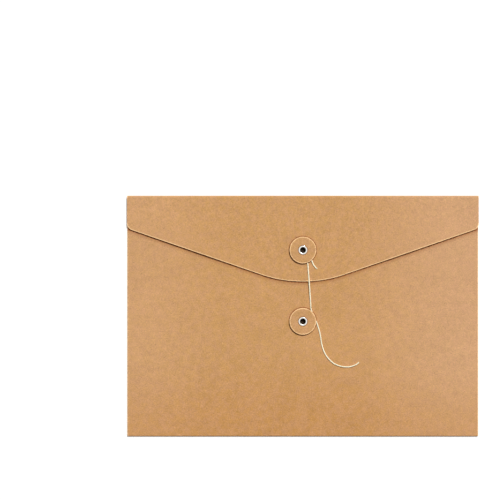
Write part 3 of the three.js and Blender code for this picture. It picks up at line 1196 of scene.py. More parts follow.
@dataclass
class Pocket:
    """The pocket: back and front panels, the folds that join them, and the side tabs between them."""

    stock: CardStock
    finish: bpy.types.Material
    back_finish: bpy.types.Material
    front_finish: bpy.types.Material
    mouth_radius: float = 4 * MM
    tab_taper: float = 8 * MM
    card_hole: float = 3.0 * MM
    front_sway: float = 0.3 * MM
    glued_width: float = 22 * MM
    side_ease: float = 30 * MM
    calm_half: float = 25 * MM
    middle_ease: float = 45 * MM
    calm_bottom: float = 5 * MM
    bottom_ease: float = 40 * MM
    crest_wear_highlight: float = 0.14

    def __post_init__(self) -> None:
        """Reads the pocket's places from the frame."""
        self.back_low, self.back_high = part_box("back_panel")
        self.front_low, self.front_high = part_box("front_panel")
        self.fold_low, self.fold_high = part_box("right_side_fold")
        self.tab_low, self.tab_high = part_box("right_side_tab")
        self.bottom_low, self.bottom_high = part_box("bottom_fold")

    def build(self) -> None:
        """Builds and dresses every piece of the pocket."""
        self.build_back()
        self.build_front()
        self.build_bottom_fold()
        self.build_sides()

    def build_back(self) -> None:
        """Cuts the back panel, which is wider above the side folds."""
        lead = self.stock.lead
        seam_x = self.tab_high.x - lead
        waste = Vector((0, self.stock.waste, 0))
        low, high = self.back_low - waste, self.back_high + waste
        sheet = CardSheet("back_panel_sheet", low, high, self.stock)
        sheet.mark_rim()
        sheet.trim_seam(Vector((0, self.back_high.y - lead, 0)), Vector((0, 1, 0)))
        sheet.trim_seam(Vector((0, self.back_low.y + lead, 0)), Vector((0, -1, 0)))
        for side in (-1, 1):
            across = Vector((side, 0, 0))
            top = Vector((0, self.fold_high.y, 0))
            sheet.cut_out([(across * seam_x, across), (top, Vector((0, -1, 0)))])
            sheet.seams.append((across * seam_x, across))
        sheet.rule()
        sheet.paint_rim_highlight()
        sheet.thicken()
        settle(sheet.piece)
        dress(sheet.piece, self.back_finish, Slot.KRAFT, Body.ENVELOPE, "back_panel")

    def build_front(self) -> None:
        """Cuts the front panel, with round corners at its mouth and a hole for the lower eyelet."""
        low, high = self.front_low, self.front_high
        down = Vector((0, -1, 0))
        sheet = CardSheet("front_panel_sheet", low + down * self.stock.waste, high, self.stock)
        for side in (-1, 1):
            corner = Vector((side * high.x, high.y, high.z))
            sheet.round_corner(corner, self.mouth_radius, math.pi / 2, 12)
        sheet.mark_rim()
        sheet.trim_seam(Vector((0, low.y + self.stock.lead, 0)), down)
        sheet.rule()
        sheet.paint_rim_highlight()

        def free(place: Vector) -> float:
            """The panel is held at its glued sides, at its bottom and along its middle.

            Args:
                place: The place.

            Returns:
                How free it is there, from 0 to 1.
            """
            from_side = (high.x - self.glued_width - abs(place.x)) / self.side_ease
            from_middle = (abs(place.x) - self.calm_half) / self.middle_ease
            from_bottom = (place.y - low.y - self.calm_bottom) / self.bottom_ease
            return ease(from_side) * ease(from_middle) * ease(from_bottom)

        sheet.sway(self.front_sway, free)
        sheet.thicken()
        disc_low, disc_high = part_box("lower_button")
        sheet.punch(0, (disc_low.y + disc_high.y) / 2, self.card_hole)
        settle(sheet.piece)
        dress(sheet.piece, self.front_finish, Slot.KRAFT, Body.ENVELOPE, "front_panel")

    def build_bottom_fold(self) -> None:
        """Bends the fold between the back and front panels."""
        low, high = self.bottom_low, self.bottom_high
        centre = Vector((0, high.y, high.z / 2))
        down = Vector((0, -1, 0))
        fold = CardFold("bottom_fold_strip", FoldAxis.X, centre, high.x - low.x, down, self.stock)
        fold.wear(self.crest_wear_highlight)
        settle(fold.piece)
        dress(fold.piece, self.finish, Slot.KRAFT, Body.ENVELOPE, "bottom_fold")

    def build_sides(self) -> None:
        """Bends one side fold and cuts its tab, and mirrors both."""
        low, high = self.fold_low, self.fold_high
        centre = Vector((low.x, (low.y + high.y) / 2, high.z / 2))
        right = Vector((1, 0, 0))
        fold = CardFold("right_side_fold_strip", FoldAxis.Y, centre, high.y - low.y, right, self.stock)
        fold.wear(self.crest_wear_highlight)
        settle(fold.piece)
        left_fold = copy_piece(fold.piece, "left_side_fold_strip", mirror=True)
        dress(fold.piece, self.finish, Slot.KRAFT, Body.ENVELOPE, "right_side_fold")
        dress(left_fold, self.finish, Slot.KRAFT, Body.ENVELOPE, "left_side_fold")

        tab = self.cut_tab()
        left_tab = copy_piece(tab, "left_glue_tab", mirror=True)
        dress(tab, self.finish, Slot.KRAFT, Body.ENVELOPE, "right_side_tab")
        dress(left_tab, self.finish, Slot.KRAFT, Body.ENVELOPE, "left_side_tab")

    def cut_tab(self) -> Piece:
        """Cuts the right glue tab, with slanted ends.

        Returns:
            The tab.
        """
        low, high = self.tab_low, self.tab_high
        sheet = CardSheet("right_glue_tab", low, high + Vector((self.stock.waste, 0, 0)), self.stock)
        width = high.x - low.x
        for corner_y, up in ((high.y, 1), (low.y, -1)):
            slant = Vector((-self.tab_taper, up * width, 0)).normalized()
            sheet.trim(Vector((high.x, corner_y, 0)), slant)
        sheet.mark_rim()
        sheet.trim_seam(Vector((high.x - self.stock.lead, 0, 0)), Vector((1, 0, 0)))
        sheet.rule()
        sheet.paint_rim_highlight()
        sheet.thicken()
        return settle(sheet.piece)


def ease(share: float) -> float:
    """Eases a share from 0 to 1 and keeps it there outside that range."""
    share = min(1.0, max(0.0, share))
    return share * share * (3 - 2 * share)


@dataclass
class Flap:
    """The flap and the crease that it turns on."""

    stock: CardStock
    outline: FlapOutline
    finish: bpy.types.Material
    crease_finish: bpy.types.Material
    card_hole: float = 3.0 * MM
    sway_height: float = 0.3 * MM
    sway_start: float = 4 * MM
    sway_ease: float = 30 * MM
    calm_half: float = 25 * MM
    calm_ease: float = 50 * MM
    wing_lift: float = 1.1 * MM
    left_wing_share: float = 0.7
    wing_start: float = 8 * MM
    wing_ease: float = 50 * MM
    wing_root: float = 30 * MM
    wing_spread: float = 80 * MM
    side_wear_highlight: float = 0.2
    crest_wear_highlight: float = 0.25

    def __post_init__(self) -> None:
        """Reads the flap's places from the frame."""
        self.low, self.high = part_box("top_flap")
        self.crease_low, self.crease_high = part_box("flap_crease")

    def build(self) -> None:
        """Builds and dresses the flap and its crease."""
        self.build_flap()
        self.build_crease()

    def build_flap(self) -> None:
        """Cuts the flap: straight sides, round corners and two slants that run into a round tip."""
        outline = self.outline
        half = outline.half
        low = Vector((-half, outline.point_y - self.stock.waste, self.low.z))
        high = Vector((half, self.high.y + self.stock.waste, self.high.z))
        sheet = CardSheet("flap_sheet", low, high, self.stock)
        for side in (-1, 1):
            outward = Vector((side * math.sin(outline.slant), -math.cos(outline.slant), 0))
            sheet.trim(Vector((side * half, outline.shoulder_y, high.z)), outward)
        for side in (-1, 1):
            shoulder = Vector((side * half, outline.shoulder_y, high.z))
            sheet.round_corner(shoulder, outline.corner_radius, math.pi / 2 - outline.slant, 14)
        tip = Vector((0, outline.point_y, high.z))
        sheet.round_corner(tip, outline.tip_radius, 2 * outline.slant, 40)
        sheet.mark_rim()
        sheet.trim_seam(Vector((0, self.high.y - self.stock.lead, 0)), Vector((0, 1, 0)))
        sheet.rule()

        def worn_highlight(place: Vector) -> float:
            """The slants and the tip get a painted highlight that also stands for wear, and the straight
            sides a little.
            """
            return self.side_wear_highlight if abs(place.x) > half - EPSILON else 1.0

        def free(place: Vector) -> float:
            """The flap is held at its crease and along the middle, where the string lies.

            Args:
                place: The place.

            Returns:
                How free it is there, from 0 to 1.
            """
            from_crease = (self.high.y - place.y - self.sway_start) / self.sway_ease
            from_middle = (abs(place.x) - self.calm_half) / self.calm_ease
            return ease(from_crease) * ease(from_middle)

        def wing(place: Vector) -> float:
            """Both wings stand up a little towards their edges, the right one more.

            Args:
                place: The place.

            Returns:
                The share of the full lift there.
            """
            from_crease = (self.high.y - place.y - self.wing_start) / self.wing_ease
            from_middle = (abs(place.x) - self.wing_root) / self.wing_spread
            height = 1.0 if place.x > 0 else self.left_wing_share
            return height * ease(from_crease) * ease(from_middle)

        sheet.paint_rim_highlight(worn_highlight)
        sheet.sway(self.sway_height, free)
        sheet.lift(self.wing_lift, wing)
        sheet.thicken()
        disc_low, disc_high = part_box("upper_button")
        sheet.punch(0, (disc_low.y + disc_high.y) / 2, self.card_hole)
        settle(sheet.piece)
        dress(sheet.piece, self.finish, Slot.KRAFT, Body.FLAP, "top_flap")

    def build_crease(self) -> None:
        """Bends the crease between the back panel and the flap."""
        low, high = self.crease_low, self.crease_high
        radius = high.z / 2
        centre = Vector((0, high.y - radius, radius))
        fold = CardFold("crease_strip", FoldAxis.X, centre, high.x - low.x, Vector((0, 1, 0)), self.stock)
        fold.wear(self.crest_wear_highlight)
        piece = settle(fold.piece)
        piece.data.materials.append(self.crease_finish)
        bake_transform(piece)
        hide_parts("flap_crease")
        LOG.info("%s: %d faces, bends with the flap", piece.name, len(piece.data.polygons))


@dataclass
class Fastenings:
    """Both fastenings: a card button that turns on an eyelet, and the washer behind it."""

    disc_finish: bpy.types.Material
    washer_finish: bpy.types.Material
    metal: bpy.types.Material
    barrel_radius: float = 2.9 * MM
    barrel_wall: float = 0.35 * MM
    flange_height: float = 0.45 * MM
    curl_radius: float = 3.9 * MM
    curl_height: float = 0.5 * MM
    shaded_lip: float = 0.75 * MM
    shaded_seat: float = 0.45 * MM
    disc_bore: float = 3.2 * MM
    disc_rounding: float = 0.26 * MM
    disc_rim: float = 1.5 * MM
    dish_radius: float = 6.4 * MM
    dish_slope: float = 1.8 * MM
    dish_depth: float = 0.1 * MM
    dip: float = 0.01 * MM
    face_wear_highlight: float = 0.31
    seat_shade: float = 0.9
    washer_wear: float = 0.4
    washer_hole: float = 3.0 * MM
    washer_soft: float = 0.06 * MM
    press_depth: float = 0.03 * MM
    press_slope: float = 0.5 * MM

    def __post_init__(self) -> None:
        """Reads the upper disc's place from the frame."""
        self.disc_low, self.disc_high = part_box("upper_button")
        self.axis_y = (self.disc_low.y + self.disc_high.y) / 2

    def lower_shift(self, kind: str) -> Vector:
        """How far a lower piece lies from the upper one of its kind."""
        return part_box(f"lower_{kind}")[0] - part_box(f"upper_{kind}")[0]

    def build(self) -> None:
        """Builds the upper fastening's pieces and copies them to the lower place."""
        makers = {
            "button": (self.turn_disc, self.disc_finish, Slot.DISC, Body.UPPER_DISC, Body.LOWER_DISC),
            "eyelet": (self.turn_eyelet, self.metal, Slot.METAL, Body.FLAP, Body.ENVELOPE),
            "backing_washer": (self.turn_washer, self.washer_finish, Slot.DISC, Body.FLAP, Body.ENVELOPE),
        }
        for kind, (maker, finish, slot, upper_body, lower_body) in makers.items():
            upper = maker()
            with editing(upper):
                bpy.ops.transform.translate(value=(0, self.axis_y, 0))
            settle(upper)
            lower = copy_piece(upper, f"lower_{kind}_turned", self.lower_shift(kind))
            dress(upper, finish, slot, upper_body, f"upper_{kind}")
            dress(lower, finish, slot, lower_body, f"lower_{kind}")

    def turn_disc(self) -> Piece:
        """Turns the card disc: round arrises, and a shallow dish where the flange presses it.

        Returns:
            The disc.
        """
        radius = (self.disc_high.x - self.disc_low.x) / 2
        low, high = self.disc_low.z, self.disc_high.z
        round_in = radius - self.disc_rounding
        size = (self.disc_rounding, self.disc_rounding)
        face = high - self.dip
        dished = high - self.dish_depth
        profile = [
            (self.disc_bore, low),
            (radius - self.disc_rim, low),
            *arc_points((round_in, low + self.disc_rounding), size, -90, 0, 5),
            *arc_points((round_in, high - self.disc_rounding), size, 0, 90, 5),
            (radius - 0.5 * self.disc_rim, high),
            (radius - self.disc_rim, face),
            (self.dish_radius + self.dish_slope, face),
            (self.dish_radius, face - 0.2 * self.dish_depth),
            (self.dish_radius - 0.6 * self.dish_slope, dished + 0.2 * self.dish_depth),
            (self.dish_radius - self.dish_slope, dished),
            (self.disc_bore, dished),
        ]
        piece = turn_ring("upper_button_turned", profile)

        def worn_highlight(place: Vector) -> float:
            """The face gets a painted highlight, partly wear, in a narrow ring just inside its rounded
            edge, and not elsewhere.
            """
            inwards = (radius - place.xy.length) / self.disc_rim
            return self.face_wear_highlight * ease(4 * (1 - inwards)) * (0.4 + 0.6 * ease(5 * inwards))

        set_wear_and_painted_light(piece, worn_highlight)
        return piece

    def turn_eyelet(self) -> Piece:
        """Turns the eyelet: a domed flange, the barrel, and the end that is curled out under the washer.

        Returns:
            The eyelet.
        """
        flange_low, flange_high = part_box("upper_eyelet")
        curl_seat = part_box("upper_backing_washer")[0].z
        flange_radius = (flange_high.x - flange_low.x) / 2
        bore = self.barrel_radius - self.barrel_wall
        seat = flange_high.z - self.flange_height
        flange_middle = (flange_radius + bore) / 2
        curl_middle = (self.curl_radius + bore) / 2
        flange = ((flange_middle, seat), (flange_radius - flange_middle, self.flange_height))
        curl = ((curl_middle, curl_seat), (curl_middle - bore, self.curl_height))
        profile = [
            (self.barrel_radius, seat),
            *arc_points(*flange, 0, 180, 18),
            *arc_points(*curl, 180, 360, 12),
            (self.barrel_radius, curl_seat),
        ]
        piece = turn_ring("upper_eyelet_turned", profile)

        def dull_and_shaded(place: Vector) -> float:
            """The metal is rougher and painted dark as shade inside its barrel, at the lip and where the
            flange meets the card.

            Args:
                place: The place.

            Returns:
                How rough and shaded it is there, from 0 to 1.
            """
            radius = place.xy.length
            lip = ease((bore + self.shaded_lip - radius) / self.shaded_lip)
            foot = ease((radius - flange_radius + self.shaded_seat) / self.shaded_seat)
            return max(lip, self.seat_shade * foot)

        set_wear_and_painted_light(piece, dull_and_shaded)
        return piece

    def turn_washer(self) -> Piece:
        """Turns the card washer, which is pressed in a little under the curl.

        Returns:
            The washer.
        """
        low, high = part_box("upper_backing_washer")
        radius = (high.x - low.x) / 2
        round_in = radius - self.washer_soft
        size = (self.washer_soft, self.washer_soft)
        flat = radius - self.press_slope
        profile = [
            (self.washer_hole, low.z + self.press_depth),
            (self.curl_radius, low.z + self.press_depth),
            (self.curl_radius + self.press_slope, low.z),
            (flat, low.z),
            *arc_points((round_in, low.z + self.washer_soft), size, -90, 0, 3),
            *arc_points((round_in, high.z - self.washer_soft), size, 0, 90, 3),
            (flat, high.z),
            (self.washer_hole, high.z),
        ]
        piece = turn_ring("upper_backing_washer_turned", profile, 72)

        def worn_highlight(place: Vector) -> float:
            """The washer is worn at its rim."""
            return self.washer_wear * ease((place.xy.length - flat) / self.press_slope)

        set_wear_and_painted_light(piece, worn_highlight)
        return piece


@dataclass
class TieString:
    """The cotton string: three plies twisted round each other, laid along its route."""

    finish: bpy.types.Material
    diameter: float = 1.2 * MM
    lift: float = 0.06 * MM
    barrel_radius: float = 2.9 * MM
    barrel_gap: float = 0.6 * MM
    hook_start: float = 25
    hook_end: float = 222
    hook_points: int = 9
    plies: int = 3
    ply_fullness: float = 1.3
    strand_length: float = 6 * MM
    strand_apart: float = 5
    pitch: float = 3.1 * MM
    steps_per_turn: int = 14
    samples: int = 24
    fray: float = 1.3 * MM
    yarn_radius: float = 0.12 * MM
    yarn_spread: float = 0.22 * MM
    yarn_root: float = 0.5 * MM
    yarn_steps: int = 5
    yarn_thinning: float = 0.82
    yarn_rise: float = 0.13
    yarns_per_ply: int = 7
    shortest_yarn: float = 0.55
    tuft_flatness: float = 0.85
    golden_turn: float = math.radians(137.5)

    def route(self) -> list[Vector]:
        """The points that the string runs through, from its short end to its long end.

        Returns:
            The points.
        """
        radius = self.diameter / 2
        on_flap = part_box("top_flap")[1].z / MM + (radius + self.lift) / MM
        on_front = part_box("front_panel")[1].z / MM + (radius + self.lift) / MM
        drop = on_flap - on_front
        short_end = [
            (13.6, -18.1, on_flap),
            (11.9, -16.4, on_flap),
            (10.1, -14.0, on_flap),
            (8.7, -10.8, on_flap),
            (7.6, -7.2, on_flap),
            (5.8, -3.2, on_flap),
        ]
        hook_radius = (self.barrel_radius + self.barrel_gap + radius) / MM
        hook = []
        for step in range(self.hook_points):
            share = step / (self.hook_points - 1)
            angle = math.radians(self.hook_start + (self.hook_end - self.hook_start) * share)
            hook.append((hook_radius * math.cos(angle), hook_radius * math.sin(angle), on_flap))
        over_flap = [
            (0.8, -6.6, on_flap),
            (4.2, -11.6, on_flap),
            (5.1, -19.0, on_flap),
            (5.8, -28.0, on_flap),
            (6.2, -33.5, on_flap - 0.14 * drop),
        ]
        over_front = [
            (6.5, 30.0, on_front + 0.69 * drop),
            (6.8, 25.5, on_front + 0.52 * drop),
            (7.3, 18.5, on_front + 0.22 * drop),
            (7.9, 11.2, on_front),
            (10.4, 4.9, on_front),
            (13.2, -1.5, on_front),
            (15.5, -8.5, on_front),
            (16.9, -14.6, on_front),
            (17.9, -21.0, on_front),
            (20.1, -28.5, on_front),
            (24.0, -35.0, on_front),
            (29.7, -40.2, on_front),
            (37.0, -43.0, on_front),
            (43.6, -43.4, on_front),
            (49.6, -41.8, on_front),
            (54.0, -39.0, on_front),
        ]
        upper_y, lower_y = self.button_y("upper"), self.button_y("lower")
        upper = [Vector((x * MM, upper_y + y * MM, z * MM)) for x, y, z in [*short_end, *hook, *over_flap]]
        lower = [Vector((x * MM, lower_y + y * MM, z * MM)) for x, y, z in over_front]
        return upper + lower

    @staticmethod
    def button_y(which: str) -> float:
        """How far up the folder a button's middle is."""
        low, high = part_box(f"{which}_button")
        return (low.y + high.y) / 2

    def centreline(self) -> list[Vector]:
        """Runs a smooth curve through the route's points.

        Returns:
            Points close enough together to have the string's length.
        """
        points = self.route()
        first = points[0] * 2 - points[1]
        last = points[-1] * 2 - points[-2]
        ends = [first, *points, last]
        line = []
        for before, start, end, after in zip(ends, ends[1:], ends[2:], ends[3:]):
            for step in range(self.samples):
                line.append(self.between(before, start, end, after, step / self.samples))
        return [*line, points[-1]]

    @staticmethod
    def between(before: Vector, start: Vector, end: Vector, after: Vector, share: float) -> Vector:
        """One point of a centripetal Catmull-Rom curve.

        Args:
            before: The route point before the stretch.
            start: Where the stretch starts.
            end: Where it ends.
            after: The route point after it.
            share: How far along the stretch the point is.

        Returns:
            The point.
        """
        knot_0 = 0.0
        knot_1 = knot_0 + math.sqrt((start - before).length)
        knot_2 = knot_1 + math.sqrt((end - start).length)
        knot_3 = knot_2 + math.sqrt((after - end).length)
        knot = knot_1 + (knot_2 - knot_1) * share

        def blend(a: Vector, b: Vector, knot_a: float, knot_b: float) -> Vector:
            """Mixes two points by where the knot lies between theirs."""
            return (a * (knot_b - knot) + b * (knot - knot_a)) / (knot_b - knot_a)

        a = blend(before, start, knot_0, knot_1)
        b = blend(start, end, knot_1, knot_2)
        c = blend(end, after, knot_2, knot_3)
        return blend(blend(a, b, knot_0, knot_2), blend(b, c, knot_1, knot_3), knot_1, knot_2)

    def build(self) -> None:
        line = self.centreline()
        length = sum((b - a).length for a, b in pairwise(line))
        piece = self.twist(length)
        self.mark_strands(piece, length)
        self.lay(piece, line)
        settle(piece, 60)
        dress(piece, self.finish, Slot.COTTON, Body.STRING, "string")
        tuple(line[0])

    @property
    def ply_radius(self) -> float:
        """The radius of one ply, when all of them touch."""
        return self.diameter / 2 / (1 + 1 / math.sin(math.pi / self.plies))

    @property
    def ply_offset(self) -> float:
        """How far a ply's middle is from the string's."""
        return self.diameter / 2 - self.ply_radius

    def twist(self, length: float) -> Piece:
        """Twists straight plies along X.

        Args:
            length: The string's length.

        Returns:
            The straight string.
        """
        twisted = length - 2 * self.fray
        turns = twisted / self.pitch
        deselect_all()
        bpy.ops.mesh.primitive_circle_add(vertices=9, radius=self.ply_radius * self.ply_fullness)
        piece = bpy.context.object
        piece.name = "string_twisted"
        piece.data.name = piece.name
        with editing(piece, Element.VERTEX):
            bpy.ops.transform.rotate(value=math.pi / 2, orient_axis="Y", center_override=(0, 0, 0))
            bpy.ops.transform.translate(value=(0, 0, self.ply_offset))
            for _ in range(self.plies - 1):
                bpy.ops.mesh.duplicate()
                turn = 2 * math.pi / self.plies
                bpy.ops.transform.rotate(value=turn, orient_axis="X", center_override=(0, 0, 0))
        steps = round(turns * self.steps_per_turn)
        apply_modifier(
            piece,
            "SCREW",
            axis="X",
            angle=2 * math.pi * turns,
            screw_offset=twisted,
            steps=steps,
            render_steps=steps,
            use_merge_vertices=False,
        )
        with editing(piece, Element.VERTEX):
            bpy.ops.mesh.fill_holes(sides=0)
            bpy.ops.mesh.select_all(action="SELECT")
            bpy.ops.mesh.normals_make_consistent(inside=False)
            bpy.ops.transform.translate(value=(self.fray, 0, 0))
        near_end = self.tuft(0)
        far_end = self.tuft(2 * math.pi * turns)
        with editing(far_end):
            bpy.ops.transform.resize(value=(-1, 1, 1), center_override=(length / 2, 0, 0))
            bpy.ops.mesh.normals_make_consistent(inside=False)
        make_active(piece)
        near_end.select_set(True)
        far_end.select_set(True)
        bpy.ops.object.join()
        return piece

    def tuft(self, turn: float) -> Piece:
        """Combs out the loose yarns of the near end, where each ply has untwisted.

        Args:
            turn: How far the plies have turned there.

        Returns:
            The yarns, all in one piece.
        """
        yarn = self.yarn()
        yarns = self.plies * self.yarns_per_ply
        with editing(yarn, Element.VERTEX):
            for number in range(yarns):
                bpy.ops.mesh.duplicate()
                longer = math.sin(self.golden_turn * number) ** 2
                reach = self.shortest_yarn + (1 - self.shortest_yarn) * longer
                bpy.ops.transform.resize(value=(reach, 1, 1), center_override=(self.fray, 0, 0))
                outwards = self.yarn_spread * math.sqrt((number // self.plies + 0.5) / self.yarns_per_ply)
                bpy.ops.transform.translate(value=(0, 0, outwards))
                turned = self.golden_turn * number
                bpy.ops.transform.rotate(value=turned, orient_axis="X", center_override=(0, 0, 0))
                angle = turn + 2 * math.pi * number / self.plies
                aside = Vector((0, -math.sin(angle), math.cos(angle))) * self.ply_offset
                bpy.ops.transform.translate(value=aside)
                bpy.ops.mesh.hide()
                bpy.ops.mesh.select_all(action="SELECT")
            bpy.ops.mesh.delete(type="VERT")
            bpy.ops.mesh.reveal()
            bpy.ops.mesh.select_all(action="SELECT")
            bpy.ops.transform.resize(value=(1, 1, self.tuft_flatness), center_override=(0, 0, 0))
            bpy.ops.mesh.normals_make_consistent(inside=False)
        return yarn

    def yarn(self) -> Piece:
        """Draws out one yarn that starts inside a ply and bends up as it thins.

        Returns:
            The yarn.
        """
        deselect_all()
        bpy.ops.mesh.primitive_circle_add(vertices=6, radius=self.yarn_radius)
        piece = bpy.context.object
        with editing(piece, Element.VERTEX):
            bpy.ops.transform.rotate(value=math.pi / 2, orient_axis="Y", center_override=(0, 0, 0))
            bpy.ops.transform.translate(value=(self.fray + self.yarn_root, 0, 0))
            bpy.ops.mesh.edge_face_add()
            length = self.fray + self.yarn_root
            for step in range(self.yarn_steps):
                share = (step + 1) / self.yarn_steps
                drawn = (-length / self.yarn_steps, 0, self.yarn_rise * length * share**2)
                bpy.ops.mesh.extrude_region_move(TRANSFORM_OT_translate={"value": drawn})
                bpy.ops.transform.resize(value=(self.yarn_thinning,) * 3)
        return piece

    def mark_strands(self, piece: Piece, length: float) -> None:
        """Writes coordinates that run round and along each ply, for the fibres.

        Args:
            piece: The straight string.
            length: Its length.
        """
        layer = piece.data.attributes.new("strand", "FLOAT_VECTOR", "POINT")
        turn_rate = 2 * math.pi / self.pitch
        middles = [
            Matrix.Rotation(2 * math.pi * ply / self.plies, 3, "X") @ Vector((0, 0, self.ply_offset))
            for ply in range(self.plies)
        ]
        for vertex, value in zip(piece.data.vertices, layer.data):
            place = vertex.co.copy()
            along = place.x
            place.x = 0
            place = Matrix.Rotation(turn_rate * (self.fray - along), 3, "X") @ place
            ply, centre = min(enumerate(middles), key=lambda entry: (entry[1] - place).length)
            round_ply = (place - centre) / self.ply_radius
            aside = round_ply.y + self.strand_apart * ply
            value.vector = (aside, round_ply.z, along / self.strand_length)
        LOG.info("string: %.1f mm long", length / MM)

    def lay(self, piece: Piece, line: Sequence[Vector]) -> None:
        """Bends the straight string along its route.

        Args:
            piece: The straight string.
            line: The points that it follows.
        """
        curve = bpy.data.curves.new("string_route", "CURVE")
        curve.dimensions = "3D"
        curve.twist_mode = "Z_UP"
        curve.use_stretch = True
        curve.use_deform_bounds = True
        spline = curve.splines.new("POLY")
        spline.points.add(len(line) - 1)
        for point, place in zip(spline.points, line):
            point.co = (*place, 1)
        route = bpy.data.objects.new("string_route", curve)
        bpy.context.scene.collection.objects.link(route)
        bpy.context.view_layer.update()
        apply_modifier(piece, "CURVE", object=route, deform_axis="POS_X")
        bpy.data.objects.remove(route)
        bpy.data.curves.remove(curve)


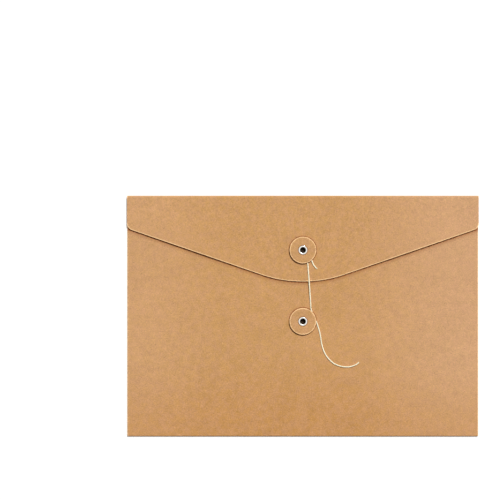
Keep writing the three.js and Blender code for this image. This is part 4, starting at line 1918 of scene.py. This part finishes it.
@dataclass(frozen=True)
class Studio:
    """The floor, the light and the camera."""

    fill: float = 0.25
    key_height: float = math.radians(57)
    key_turn: float = math.radians(66)
    key_spread: float = math.radians(8)
    floor_side: float = 30.0
    photo_side_px: float = 500
    folder_middle_px: tuple[float, float] = (302.8, 316.1)
    mm_per_px: float = 0.9531
    lens: float = 85.0
    sensor: float = 36.0
    plane_height: float = 3 * MM
    floor_drop: float = 0.02 * MM
    floor_glow: float = 0.1

    def build(self) -> None:
        """Sets up the camera, the light and the floor."""
        bpy.context.scene.view_settings.view_transform = "Standard"
        self.place_camera()
        self.place_key()
        self.light_world()
        self.lay_floor()

    def place_camera(self) -> None:
        """Hangs the camera straight above the middle of the photograph's frame."""
        middle_px = self.photo_side_px / 2
        x = (middle_px - self.folder_middle_px[0]) * self.mm_per_px * MM
        y = (self.folder_middle_px[1] - middle_px) * self.mm_per_px * MM
        width = self.photo_side_px * self.mm_per_px * MM
        data = bpy.data.cameras.new("camera")
        data.lens = self.lens
        data.sensor_width = self.sensor
        data.clip_end = 100
        camera = bpy.data.objects.new("camera", data)
        camera.location = (x, y, self.plane_height + width * self.lens / self.sensor)
        bpy.context.scene.collection.objects.link(camera)
        bpy.context.scene.camera = camera

    def place_key(self) -> None:
        """Puts a broad soft light above the folder, up and to its right."""
        flat = math.cos(self.key_height)
        aside, ahead = flat * math.cos(self.key_turn), flat * math.sin(self.key_turn)
        towards = Vector((aside, ahead, math.sin(self.key_height)))
        data = bpy.data.lights.new("key", "SUN")
        data.energy = math.pi * (1 - self.fill) / math.sin(self.key_height)
        data.angle = self.key_spread
        key = bpy.data.objects.new("key", data)
        key.rotation_euler = towards.to_track_quat("Z", "Y").to_euler()
        key.location = towards * 2
        bpy.context.scene.collection.objects.link(key)

    def light_world(self) -> None:
        """Fills the room with even light, and shows it white to the camera and in reflections."""
        world = bpy.data.worlds.new("room")
        world.use_nodes = True
        bpy.context.scene.world = world
        tree = world.node_tree
        seen = self.seen_directly(tree)
        background = tree.nodes["Background"]
        background.inputs["Color"].default_value = (1, 1, 1, 1)
        strength = tree.nodes.new("ShaderNodeMapRange")
        strength.inputs["To Min"].default_value = self.fill
        tree.links.new(seen, strength.inputs["Value"])
        tree.links.new(strength.outputs[0], background.inputs["Strength"])

    @staticmethod
    def seen_directly(tree: bpy.types.NodeTree) -> Socket:
        """A mask that is 1 for what the camera sees, also in metal or through glass.

        Args:
            tree: The tree that the mask is built in.

        Returns:
            The mask.
        """
        path = tree.nodes.new("ShaderNodeLightPath")
        total = path.outputs["Is Camera Ray"]
        for name in ("Is Glossy Ray", "Is Transmission Ray"):
            maximum = tree.nodes.new("ShaderNodeMath")
            maximum.operation = "MAXIMUM"
            tree.links.new(total, maximum.inputs[0])
            tree.links.new(path.outputs[name], maximum.inputs[1])
            total = maximum.outputs[0]
        return total

    def lay_floor(self) -> None:
        """Lays a wide pale floor that keeps the folder's shadow."""
        deselect_all()
        bpy.ops.mesh.primitive_plane_add(size=self.floor_side, location=(0, 0, -self.floor_drop))
        floor = bpy.context.object
        floor.name = "floor"
        bench = NodeBench("floor_paper")
        inputs = {"Value": self.seen_directly(bench.tree), "To Max": self.floor_glow}
        glow = bench.add("MapRange", inputs).outputs[0]
        grain = bench.noise(2 * MM)
        bench.set(
            Base_Color=bench.mix(grain, (0.95, 0.95, 0.95, 1), (0.97, 0.97, 0.97, 1)),
            Roughness=0.9,
            Specular_IOR_Level=0.0,
            Emission_Color=(1, 1, 1, 1),
            Emission_Strength=glow,
        )
        floor.data.materials.append(bench.material)
        floor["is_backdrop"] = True


def dress_glue(finish: bpy.types.Material) -> None:
    """Gives both glue lines their material.

    Args:
        finish: The dried paste.
    """
    for side in ("left", "right"):
        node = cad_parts[f"{side}_glue_line"]
        node.data.materials.clear()
        node.data.materials.append(finish)
        LOG.info("%s: dressed", node.name)


def write_sizes() -> None:
    boxes = {"cad": CAD_BOX, "visual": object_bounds()}
    plain = {name: [[float(number) for number in corner] for corner in box] for name, box in boxes.items()}


def main() -> None:
    """Builds the folder around the frame, in the order in which it is put together."""
    logging.basicConfig(level=logging.INFO, format="%(message)s")
    Studio().build()
    TieString(CottonFinish().material()).build()

    back_low, back_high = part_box("back_panel")
    disc_low, disc_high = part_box("upper_button")
    crease_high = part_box("flap_crease")[1]
    stock = CardStock(back_high.z - back_low.z)
    outline = FlapOutline(crease_high.x, crease_high.y)
    disc_radius = (disc_high.x - disc_low.x) / 2
    upper_y, lower_y = TieString.button_y("upper"), TieString.button_y("lower")
    bore_shade_spots = (upper_y, lower_y)
    flap_shadow_ring, front_shadow_ring = (ShadowRing.round_disc(y, disc_radius) for y in bore_shade_spots)
    flange_shadow_rings = tuple(ShadowRing.round_flange(y) for y in bore_shade_spots)

    kraft = KraftFinish().material()
    back_kraft = KraftFinish("back_kraft", bore_shade_spots=bore_shade_spots).material()
    front_kraft = KraftFinish(
        "front_kraft",
        bore_shade_spots=bore_shade_spots,
        shadow_rings=(front_shadow_ring,),
        flap_shadow_outline=outline,
    ).material()
    flap_kraft = KraftFinish("flap_kraft", shadow_rings=(flap_shadow_ring,)).material()
    disc_kraft = KraftFinish(
        "disc_kraft",
        middle=screen_colour(201, 153, 98),
        bump_depth=0.03 * MM,
        shadow_rings=flange_shadow_rings,
    ).material()

    Pocket(stock, kraft, back_kraft, front_kraft).build()
    Flap(stock, outline, flap_kraft, kraft).build()
    Fastenings(disc_kraft, kraft, EyeletFinish().material()).build()
    dress_glue(GlueFinish().material())
    write_sizes()


if __name__ == "__main__":
    main()
